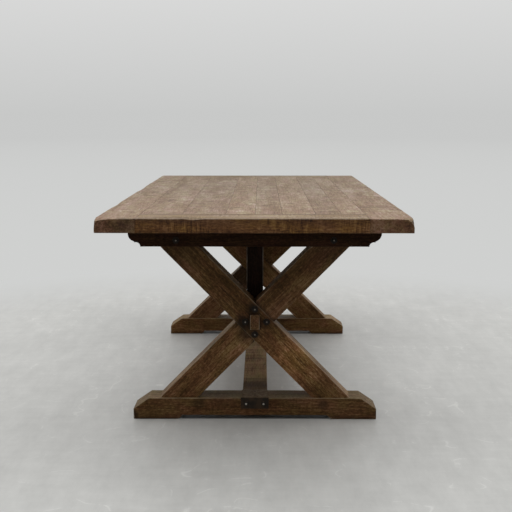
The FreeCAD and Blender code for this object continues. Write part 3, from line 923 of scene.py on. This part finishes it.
planks = {
    "jointReach": 0.0035,     # a corner this near a joint is a tight one
    "cleanEnd": 0.002,        # the dirt in the joints stops this far from the table's ends
    "cutSteps": (0.034, 0.034, 0.05),
    "tints": {"field_plank_1": 0.99, "field_plank_2": 0.90, "field_plank_3": 1.07,
              "field_plank_4": 0.94, "field_plank_5": 1.05, "field_plank_6": 0.89,
              "field_plank_7": 1.03, "side_plank_left": 1.05, "side_plank_right": 1.04,
              "end_plank_front": 1.0, "end_plank_rear": 1.0},
    # the near end is paler and warmer, and the end planks are darker along their edges
    "bands": [(1, -1.067, 1.25, (1.24, 1.17, 1.15))],
    "endBands": {
        "end_plank_front": [(1, -1.067, 0.040, (0.70, 0.68, 0.62)),
                            (1, -0.917, 0.030, (0.66, 0.62, 0.60)),
                            (2, 0.731, 0.022, (1.35, 1.36, 1.25))],
        "end_plank_rear": [(1, 1.067, 0.050, (0.56, 0.53, 0.50))],
    },
    "stains": {"side_plank_left": [((-0.405, -1.067, 0.742), 0.045, 0.62)]},
    # dents and broken corners: place, push and reach
    "knocks": {
        "side_plank_right": (((0.505, -1.067, 0.762), (-0.0085, 0.001, -0.0085), 0.026),),
        "side_plank_left": (((-0.505, -1.067, 0.762), (0.002, 0.001, -0.0065), 0.034),
                            ((-0.505, -0.60, 0.762), (0.003, 0, -0.001), 0.12),
                            ((-0.505, 0.15, 0.762), (0.003, 0, -0.001), 0.18)),
        "end_plank_front": (((-0.186, -1.067, 0.762), (0, 0.003, -0.0035), 0.028),
                            ((0.215, -1.067, 0.716), (0, 0.002, 0.0015), 0.026)),
    },
}


def buildTop():
    endFront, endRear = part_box("end_plank_front"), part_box("end_plank_rear")
    innerY = (endFront[1].y, endRear[0].y)
    leftX, rightX = endFront[0].x, endFront[1].x
    for node in sorted(planks["tints"]):
        low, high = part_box(node)
        kind, *rest = node.split("_")
        joints = [(0, low.x), (0, high.x)]
        if kind == "side":
            joints = [(0, leftX if rest[-1] == "left" else rightX)]
        elif kind == "end":
            joints.append((1, innerY[0] if rest[-1] == "front" else innerY[1]))
        else:
            low.y, high.y = innerY
            joints += [(1, innerY[0]), (1, innerY[1])]

        def isTight(place):
            return any(near(place[axis], value, planks["jointReach"]) for axis, value in joints)

        def isDirty(place):
            return isTight(place) and abs(place.y) < endRear[1].y - planks["cleanEnd"]

        look, turn, grain = "top", withGrainY, (0, 1, 0)
        if kind == "end":
            look, turn, grain = "endPlank", withGrainX, (1, 0, 0)
        plank = block(pieceName(node), low, high)
        cutBlock(plank, low, high, planks["cutSteps"])
        finishTimber(plank, grain, isTight, planks["knocks"].get(node, ()), isDirty=isDirty)
        dress(plank, look, turn, tint=planks["tints"][node], stains=planks["stains"].get(node, ()),
              bands=planks["bands"] + planks["endBands"].get(node, []))
        seat(plank, "top_planks", node)


buildTop()
print("top planks made")


# trestles: each end has feet and arms of its own sizes, while the rear bearer, post and strap
# are turned copies

footing = {
    "slopeRun": 0.056,
    "slopeDrop": 0.039,
    "padLength": 0.163,
    "relief": 0.014,
    "tightReach": 0.002,      # how far round the stretcher the arrises are tight
    # dark places: where, how far and how much darker; the two on the foot's top between the arms are
    # painted shade
    "stains": (((-0.437, -0.728, 0.020), 0.022, 0.30), ((0.437, -0.728, 0.020), 0.014, 0.45),
               ((-0.20, -0.728, 0.060), 0.030, 0.60), ((0.245, -0.728, 0.055), 0.022, 0.50),
               ((-0.10, -0.660, 0.130), 0.120, 0.45), ((0.10, -0.660, 0.130), 0.120, 0.45)),
    "soil": (0.0, 0.017, 0.40),     # darker towards the floor: from, up to, how much darker
    # the rear foot is paler: partly the wood and partly painted light where the table's shade falls
    "tints": {"foot_front": 0.94, "foot_rear": 1.30},
}
arms = {
    "levelWidth": {"front": 0.137, "rear": 0.147},
    "intoJoint": 0.003,       # how far the ends sink into foot and bearer
    "lapClearance": 0.0003,
    "tenonSize": (0.034, 0.054),
    "endLoops": (0.012,),
    "tightReach": 0.003,      # how far round the lap and the tenon the arrises are tight
    "lapSkin": 0.02,          # past this depth from the lap's plane no other arm is met
    # the rear arms are paler: partly the wood and partly painted light where the table's shade falls
    "tints": {"arm_left_front": 1.03, "arm_right_front": 0.93,
              "arm_left_rear": 1.12, "arm_right_rear": 1.10},
    # dark and pale places: where, how far and how much darker or lighter; dark halos round the crossing's
    # bolts and tenon, painted shade under the top and round the lap, and painted light on the lower legs
    "stains": {
        # on the arm that runs over, then on the one beneath
        True: (((0, -0.72, 0.356), 0.034, 0.35), ((-0.006, -0.72, 0.404), 0.034, 0.26),
               ((-0.044, -0.72, 0.352), 0.040, 0.22), ((0, -0.72, 0.311), 0.026, 0.35),
               ((0.042, -0.72, 0.356), 0.020, 0.35), ((-0.050, -0.72, 0.318), 0.040, 0.35),
               ((-0.28, -0.72, 0.63), 0.12, 0.68), ((0.165, -0.72, 0.215), 0.11, 1.52),
               ((0.115, -0.72, 0.245), 0.12, 1.40), ((0.075, -0.625, 0.29), 0.100, 0.28)),
        False: (((-0.038, -0.70, 0.308), 0.036, 0.35), ((0.28, -0.72, 0.63), 0.12, 0.70),
                ((-0.09, -0.72, 0.275), 0.06, 1.06), ((-0.16, -0.72, 0.20), 0.22, 1.22)),
    },
    # painted light: the lower legs of the front trestle are paler than the upper parts in the top's
    # shade: axis, place, reach and colour
    "bands": {"front": [(2, 0.20, 0.20, (1.32, 1.38, 1.50))], "rear": []},
}
bearers = {
    "round": 0.028,
    "roundSegments": 8,
    "cove": 0.016,
    "coveSides": 40,
    "coveStep": 0.002,
    "downFrom": 0.99,         # how squarely a face looks down to go down to the cove
    "tightReach": 0.002,
    "wear": 0.6,              # share of the full wear
}
posts = {
    "wear": 0.6,              # share of the full wear
}
footLow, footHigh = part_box("foot_front")
bearerLow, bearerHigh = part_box("bearer_front")
lowerLow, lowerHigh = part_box("lower_stretcher")
upperLow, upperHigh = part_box("upper_stretcher")
tenonZ = middleOf(upperLow.z, upperHigh.z)
armLow, armHigh = footHigh.z - arms["intoJoint"], bearerLow.z + arms["intoJoint"]


def withRear(front, node):
    # the rear piece of a pair, and the CAD node it stands for
    rearNode = node.replace("front", "rear")
    return [(front, node), (turnedCopy(front, pieceName(rearNode)), rearNode)]


def turnedStains(stains, turned):
    # stains, painted shade and painted light are placed on the front trestle; turned is -1 for the rear
    # one
    return [((x * turned, y * turned, z), reach, times) for (x, y, z), reach, times in stains]


def buildFeet():
    padInner = footHigh.x - footing["padLength"]
    reliefX = padInner - footing["relief"]
    tightX, tightZ = lowerHigh.x + footing["tightReach"], lowerLow.z - footing["tightReach"]
    for node, turned in (("foot_front", 1), ("foot_rear", -1)):
        low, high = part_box(node)
        slopeX = high.x - footing["slopeRun"]
        foot = block(pieceName(node), low, high)
        carve(foot, [block("notch", (lowerLow.x, low.y - cutPast, lowerLow.z),
                           (lowerHigh.x, high.y + cutPast, high.z + cutPast))])
        startEditing(foot)
        for side in (-1, 1):
            cutPlane((side * slopeX, 0, high.z), (side * footing["slopeDrop"], 0, footing["slopeRun"]),
                     drop=True)
            for place in (padInner, reliefX):
                cutPlane((side * place, 0, 0), (1, 0, 0))
        pick(foot, "FACE", lambda face: looks(face, z=-1)
             and abs(face.calc_center_median().x) < reliefX)
        bpy.ops.transform.translate(value=(0, 0, footing["relief"]))
        stopEditing()
        cutBlock(foot, low, high, breaks=(bothSides(slopeX, padInner, reliefX, lowerHigh.x), (),
                                          (footing["relief"], high.z - footing["slopeDrop"])))
        finishTimber(foot, (1, 0, 0), lambda place: abs(place.x) < tightX and place.z > tightZ,
                     screws="foot_screws")
        dress(foot, "foot", withGrainX, tint=footing["tints"][node], soil=footing["soil"],
              stains=turnedStains(footing["stains"], turned))
        seat(foot, "trestle_timber", node)


def armBlock(name, footX, lean, half, yLow, yHigh):
    # cut level at both ends, leaning between
    middle = footX - lean * arms["intoJoint"]
    piece = block(name, (middle - half, yLow, armLow), (middle + half, yHigh, armHigh))
    startEditing(piece)
    pick(piece, "FACE", lambda face: looks(face, z=1))
    bpy.ops.transform.translate(value=(lean * (armHigh - armLow), 0, 0))
    stopEditing()
    return piece


def buildArm(node, isOver):
    # isOver: the arm that runs over the other one on the trestle's outer face
    end = node.split("_")[-1]
    turned = -1 if end == "rear" else 1
    side = -turned if isOver else turned     # where the top end is, -1 on the left
    low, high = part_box(node)
    half = arms["levelWidth"][end] / 2
    topX = (high.x if side > 0 else -low.x) - half
    footX = (-low.x if side > 0 else high.x) - half
    lean = side * (topX + footX) / (bearerLow.z - footHigh.z)
    meetZ = footHigh.z + footX / abs(lean)
    lapY = middleOf(low.y, high.y)
    piece = armBlock(pieceName(node), -side * footX, lean, half, low.y, high.y)

    isLower = (turned > 0) != isOver     # the lap takes the half towards -Y away
    lapPlaces = (low.y - cutPast, lapY) if isLower else (lapY, high.y + cutPast)
    clear = arms["lapClearance"]
    lap = armBlock("lap", side * footX, -lean, half + clear, *lapPlaces)
    halfWidth, halfHeight = (size / 2 for size in arms["tenonSize"])
    mortise = block("mortise", (-halfWidth - clear, low.y - cutPast, tenonZ - halfHeight - clear),
                    (halfWidth + clear, high.y + cutPast, tenonZ + halfHeight + clear))
    carve(piece, [lap, mortise])

    meeting = Vector((0, 0, meetZ))
    across, other = (Vector((1, 0, slope)).normalized() for slope in (-lean, lean))
    reach = half * across.x
    cutStations(piece, (0, 0, 1), stations(armLow, armHigh, loops=arms["endLoops"]))
    cutStations(piece, across, stations(-reach, reach), meeting)
    cutStations(piece, (0, 1, 0), stations(low.y, high.y, breaks=(lapY,)))

    def isTight(place):
        close = arms["tightReach"]
        if isOver and (lapY - place.y) * turned > arms["lapSkin"]:
            return abs(place.x) < halfWidth + close and abs(place.z - tenonZ) < halfHeight + close
        return abs((place - meeting).dot(other)) < reach + close

    finishTimber(piece, (lean, 0, 1), isTight)
    dress(piece, "arm", (0, -math.atan2(1, lean), 0), tint=arms["tints"][node],
          stains=turnedStains(arms["stains"][isOver], turned), bands=arms["bands"][end])
    seat(piece, "trestle_timber", node)


def buildArms():
    for end in ("front", "rear"):
        buildArm("arm_left_" + end, True)
        buildArm("arm_right_" + end, False)


def buildBearers():
    low, high = bearerLow, bearerHigh
    shoulder = low.z + bearers["cove"] + bearers["coveStep"]
    shoulderX = high.x - bearers["round"]
    inner = shoulderX - bearers["cove"]
    bearer = block("bearerFront", (low.x, low.y, shoulder), high)
    startEditing(bearer)
    pick(bearer, "EDGE", lambda edge: near(edgeMiddle(edge).z, shoulder)
         and near(abs(edgeMiddle(edge).x), high.x))
    bpy.ops.mesh.bevel(offset=bearers["round"], segments=bearers["roundSegments"], affect="EDGES")
    pick(bearer, "FACE", lambda face: looks(face, z=-1, squarely=bearers["downFrom"]))
    extrude(z=low.z - shoulder)
    stopEditing()
    carve(bearer, [rod(bearers["cove"], high.y - low.y + 2 * cutPast,
                       (place, middleOf(low.y, high.y), low.z), vertices=bearers["coveSides"])
                   for place in bothSides(shoulderX)])
    cutBlock(bearer, low, high, breaks=(bothSides(inner, shoulderX), (), (shoulder + bearers["round"],)))

    def isTight(place):
        close = bearers["tightReach"]
        return abs(place.x) > inner - close and place.z < shoulder + close

    for piece, node in withRear(bearer, "bearer_front"):
        finishTimber(piece, (1, 0, 0), isTight, depth=bearers["wear"], screws="top_screws")
        dress(piece, "bearer", withGrainX)
        seat(piece, "trestle_timber", node)


def buildPosts():
    low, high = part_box("post_front")
    high.z = bearerHigh.z
    post = block("postFront", low, high)
    cutBlock(post, low, high)
    for piece, node in withRear(post, "post_front"):
        finishTimber(piece, (0, 0, 1), depth=posts["wear"])
        dress(piece, "post", withGrainZ)
        seat(piece, "dark_post", node)


buildFeet()
buildArms()
buildBearers()
buildPosts()
print("trestles made")


# stretchers

stretchers = {
    "upperSteps": (0.02, 0.034, 0.03),
    "upperWear": 0.5,         # shares of the full wear
    "lowerSteps": (None, 0.034, None),
    "lowerWear": 0.6,
    "tightReach": 0.003,
    # painted shade: a dark band across each end of the lower one, where it meets the foot: place, reach
    # and colour
    "endBand": (0.565, 0.17, (0.27, 0.25, 0.24)),
}


def buildUpperStretcher():
    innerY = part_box("arm_left_front")[1].y
    low, high = Vector((upperLow.x, innerY, upperLow.z)), Vector((upperHigh.x, -innerY, upperHigh.z))
    rail = block("upperStretcher", low, high)
    width, height = arms["tenonSize"]
    startEditing(rail)
    for end in (-1, 1):
        pick(rail, "FACE", lambda face: looks(face, y=end))
        extrude()
        bpy.ops.transform.resize(value=(width / (high.x - low.x), 1, height / (high.z - low.z)),
                                 center_override=(0, innerY * -end, tenonZ))
        extrude(y=(upperHigh.y - high.y) * end)
    stopEditing()
    cutBlock(rail, (low.x, upperLow.y, low.z), (high.x, upperHigh.y, high.z), stretchers["upperSteps"])
    finishTimber(rail, (0, 1, 0), lambda place: near(abs(place.y), high.y, stretchers["tightReach"]),
                 depth=stretchers["upperWear"])
    dress(rail, "tenon", withGrainY)
    seat(rail, "stretcher_timber", "upper_stretcher")


def buildLowerStretcher():
    plank = block("lowerStretcher", lowerLow, lowerHigh)
    cutBlock(plank, lowerLow, lowerHigh, stretchers["lowerSteps"])
    finishTimber(plank, (0, 1, 0), depth=stretchers["lowerWear"])
    place, *band = stretchers["endBand"]
    dress(plank, "stretcher", withGrainY, bands=[(1, side, *band) for side in bothSides(place)])
    seat(plank, "stretcher_timber", "lower_stretcher")


buildUpperStretcher()
buildLowerStretcher()
print("stretchers made")


# ironwork

iron = {
    "dark": (0.0135, 0.0090, 0.0056),
    "brown": (0.034, 0.0200, 0.0105),
    "dust": (0.160, 0.107, 0.058),
    # painted highlight on the crowns of the heads, partly rubbed metal
    "rubbedAndHighlight": (0.50, 0.46, 0.40),
    "shine": 0.14,
    "boltShade": 0.45,        # bolts and washers are blacker than the straps
    "smoothBelow": 40,        # degrees
    "turn": 6.28,             # heads and washers are turned about their axis by up to this
    # noises: scale, detail and roughness
    "scale": (90, 4, 0.6),
    "rust": (38, 3, 0.55),
    # what counts of a value: from, to, and what it makes there
    "rustPlaces": (0.42, 0.66),
    "facesUp": (0.5, 0.95),
    "dustPlaces": (0.3, 0.7, 0.5, 1.0),
    "worn": (0.3, 1.0),
    "rubbedHighlightPlaces": (0.35, 0.6, 0.35, 1.0),
    "roughness": (0.35, 0.65, 0.66, 0.42),
    "bump": (0.5, 0.0006),
}
domes = {
    "ballShare": 1.1547,      # ball radius over head radius
    "riseShare": 0.5774,      # height of the dome over head radius
    "sides": 24,
    "rimShare": 0.07,
    "hammer": 0.0005,
    "hammerShare": 0.5,       # length of the marks over head radius
    "crown": 0.30,            # share of the dome that is painted bright: a highlight, partly rubbed metal
    "crownEdge": 1.6,         # how soon it is fully bright
    # how bright the painted highlight is on each kind of head
    "rubbedAndHighlight": {"crossing_screws": 0.75, "strap_screws": 1.0, "bearer_bolts": 0.6, "post_screws": 1.0},
}
shanks = {
    "radius": 0.005,
    "chamfer": 0.0008,
    "sides": 20,
}
washers = {
    "sides": 28,
    "insetShare": 0.45,
    "rimShare": 0.3,
    "hammer": (0.0004, 0.008),    # depth and length of the marks
}
strap = {
    "topHalf": 0.047,
    "corner": 0.006,
    "cornerSegments": 4,
    "edge": 0.0009,
    "bendShare": 0.3,         # radius of the fold over the thickness
    "bendSegments": 3,
    "cutStep": 0.01,
    "loops": (0.004,),
    "hammer": (0.0007, 0.012),
}


def ironMaterial(name, shade):
    material, tree = newMaterial(name)
    place = addNode(tree, "ShaderNodeTexCoord").outputs["Object"]
    scale, rust = (noiseAt(tree, place, *iron[kind]) for kind in ("scale", "rust"))

    def within(value, kind):
        return stretchRange(tree, value, *iron[kind])

    colour = mixColour(tree, within(rust, "rustPlaces"), iron["dark"], iron["brown"])
    dusty = product(tree, within(facingUp(tree), "facesUp"), within(scale, "dustPlaces"))
    colour = tinted(tree, mixColour(tree, dusty, colour, iron["dust"]), shade)
    # the crowns of the heads are painted bright: a highlight, partly rubbed metal
    rubbedAndHighlight = product(tree, within(painted(tree, "wear"), "worn"), within(scale, "rubbedHighlightPlaces"))
    colour = mixColour(tree, rubbedAndHighlight, colour, iron["rubbedAndHighlight"])
    shader = surface(tree, colour, within(scale, "roughness"), iron["shine"],
                     combine(tree, scale, rust, "ADD"), *iron["bump"])
    addNode(tree, "ShaderNodeOutputMaterial", {0: shader})
    return material


strapIron = ironMaterial("strapIron", 1.0)
boltIron = ironMaterial("boltIron", iron["boltShade"])


def setWear(piece, measure=lambda place: 0):
    wear = piece.data.attributes.new("wear", "FLOAT", "POINT")
    for vertex, entry in zip(piece.data.vertices, wear.data):
        entry.value = measure(vertex.co)


def radiusOf(node):
    low, high = solidsOf(node)[0]
    return (high.x - low.x) / 2


def domeHead(radius, rubbedAndHighlight):
    # a hammered dome on the plane Y = 0, its crown towards -Y
    rise = radius * domes["riseShare"]
    deselectAll()
    bpy.ops.mesh.primitive_uv_sphere_add(
        segments=domes["sides"], ring_count=domes["sides"], radius=radius * domes["ballShare"],
        location=(0, rise, 0), rotation=(math.pi / 2, 0, 0))
    head = bpy.context.object
    applyPlace(head)
    startEditing(head)
    cutPlane((0, 0, 0), (0, 1, 0), drop=True)
    stopEditing()
    roundEdges(head, radius * domes["rimShare"], sharperThan=iron["smoothBelow"])
    eatInward(head, domes["hammer"], radius * domes["hammerShare"])

    # the crown is painted bright: a highlight, partly rubbed metal
    def crown(place):
        above = (-place.y / rise - 1 + domes["crown"]) / domes["crown"]
        return rubbedAndHighlight * max(0, min(1, above * domes["crownEdge"]))

    setWear(head, crown)
    return head


def boltShank(low, high, rise):
    # from the inner end of a bolt to the foot of its head
    place = middleOf(low, high)
    place.y += math.copysign(rise / 2, -low.y)
    shank = rod(shanks["radius"], high.y - low.y - rise, place, vertices=shanks["sides"])
    roundEdges(shank, shanks["chamfer"], segments=1)
    setWear(shank)
    return shank


def washerDisc(radius, thick):
    disc = rod(radius, thick, (0, thick / 2, 0), vertices=washers["sides"])
    startEditing(disc)
    pick(disc, "FACE", lambda face: looks(face, y=1) or looks(face, y=-1))
    bpy.ops.mesh.inset(thickness=radius * washers["insetShare"])
    stopEditing()
    roundEdges(disc, thick * washers["rimShare"])
    eatInward(disc, *washers["hammer"])
    setWear(disc)
    return disc


def finishIron(piece, material, slot, node):
    giveMaterial(piece, material)
    smoothPiece(piece, iron["smoothBelow"])
    seat(piece, slot, node)


def putCopies(master, name, places, node, extra=()):
    # a copy at each place, facing out from the table's middle, joined into one piece
    chance = random.Random(name)
    copies = list(extra)
    for place in places:
        copy = turnedCopy(master, name, 0)
        copy.rotation_euler.y = chance.uniform(0, iron["turn"])
        applyPlace(copy)
        copy.rotation_euler.z = 0 if place.y < 0 else math.pi
        copy.location = place
        applyPlace(copy)
        copies.append(copy)
    bpy.data.objects.remove(master)
    makeActive(copies[-1])
    for copy in copies:
        copy.select_set(True)
    bpy.ops.object.join()
    piece = bpy.context.object
    piece.name = piece.data.name = name
    finishIron(piece, boltIron, "fastener_iron", node)


def headPlaces(node, rise, isOuter=True):
    # where heads stand: in the middle of each solid, in from its outer end or out from its inner
    places = []
    for low, high in solidsOf(node):
        outer, inner = (low.y, high.y) if low.y < 0 else (high.y, low.y)
        place = middleOf(low, high)
        place.y = outer - math.copysign(rise, outer) if isOuter else inner + math.copysign(rise, inner)
        places.append(place)
    return places


def buildHeads():
    for node in ("crossing_screws", "strap_screws", "bearer_bolts", "post_screws"):
        radius = radiusOf(node)
        rise = radius * domes["riseShare"]
        head = domeHead(radius, domes["rubbedAndHighlight"][node])
        ends = []
        if node == "bearer_bolts":
            ends = [boltShank(low, high, rise) for low, high in solidsOf(node)]
        isOuter = node != "post_screws"       # these face the middle of the table
        if not isOuter:
            head.rotation_euler.z = math.pi
            applyPlace(head)
        putCopies(head, pieceName(node), headPlaces(node, rise, isOuter), node, ends)


def buildWashers():
    low, high = solidsOf("washers")[0]
    disc = washerDisc(radiusOf("washers"), high.y - low.y)
    putCopies(disc, "ironWashers", headPlaces("washers", 0), "washers")


def buildStraps():
    low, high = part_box("strap_front")
    thick = footLow.y - low.y
    leafZ = high.z - thick
    plate = block("strapFront", low, (high.x, footLow.y, high.z))

    def isCorner(edge):
        # the lower corners in front, and the far corners on top
        place = edgeMiddle(edge)
        if near(place.z, low.z):
            return near(abs(place.x), high.x)
        return (near(place.y, high.y) and near(abs(place.x), strap["topHalf"])
                and near(place.z, high.z - thick / 2))

    startEditing(plate)
    cutPlane((0, 0, leafZ), (0, 0, 1))
    pick(plate, "FACE", lambda face: looks(face, y=1) and face.calc_center_median().z > leafZ)
    extrude()
    bpy.ops.transform.resize(value=(strap["topHalf"] / high.x, 1, 1))
    extrude(y=high.y - footLow.y)
    pick(plate, "EDGE", isCorner)
    bpy.ops.mesh.bevel(offset=strap["corner"], segments=strap["cornerSegments"], affect="EDGES")
    pick(plate, "EDGE", lambda edge: near(edgeMiddle(edge).z, high.z) and near(edgeMiddle(edge).y, low.y))
    bpy.ops.mesh.bevel(offset=thick * strap["bendShare"], segments=strap["bendSegments"], affect="EDGES")
    stopEditing()
    for facing, start, end in (((1, 0, 0), -strap["topHalf"], strap["topHalf"]),
                               ((0, 0, 1), low.z, leafZ), ((0, 1, 0), footLow.y, high.y)):
        cutStations(plate, facing, stations(start, end, strap["cutStep"], strap["loops"]))
    for piece, node in withRear(plate, "strap_front"):
        roundEdges(piece, strap["edge"], sharperThan=iron["smoothBelow"])
        eatInward(piece, *strap["hammer"])
        setWear(piece)
        finishIron(piece, strapIron, "strap_iron", node)


def finishCadNodes():
    # hidden and half-hidden pieces keep their CAD shape and get their finish
    for node in ("bearer_nuts", "strap_leaf_screws", "foot_screws", "top_screws"):
        giveMaterial(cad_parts[node], boltIron)
    dress(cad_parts["plank_tongues"], "tongue", withGrainY)


buildHeads()
buildWashers()
buildStraps()
finishCadNodes()
print("ironwork made")
